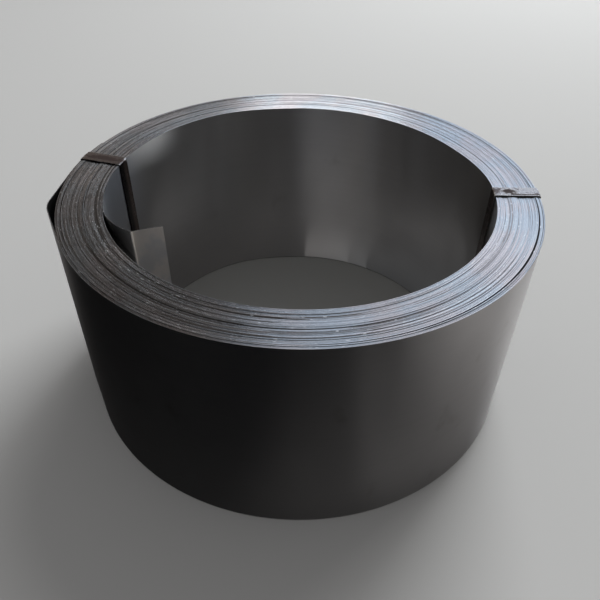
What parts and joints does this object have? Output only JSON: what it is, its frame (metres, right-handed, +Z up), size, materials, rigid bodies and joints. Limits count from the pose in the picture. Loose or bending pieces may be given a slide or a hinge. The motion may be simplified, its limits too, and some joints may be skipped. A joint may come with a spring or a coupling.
{
  "type": "steel coil",
  "caption": "Narrow coil of bright steel strip standing on its end, with an open bore, a loose inner tail and packing straps over its wall.",
  "frame": {"origin": "on the coil's axis, at the floor that the straps' undersides rest on", "axes": "+Z up along the coil's axis; +X towards the right strap; the picture was taken from -Y, from above"},
  "size_m": [0.3744, 0.3682, 0.178],
  "materials": {
    "strip": "bright cold-rolled strip, slit edges showing on both ends",
    "strap": "dark brown lacquered steel strapping, worn bright at its bends",
    "seal": "dark steel clip, crimped on both edges"
  },
  "bodies": {
    "root": {"strip_coil": "strip", "strap_left": "strap", "strap_right": "strap", "seal_left": "seal", "seal_right": "seal"}
  },
  "joints": []
}
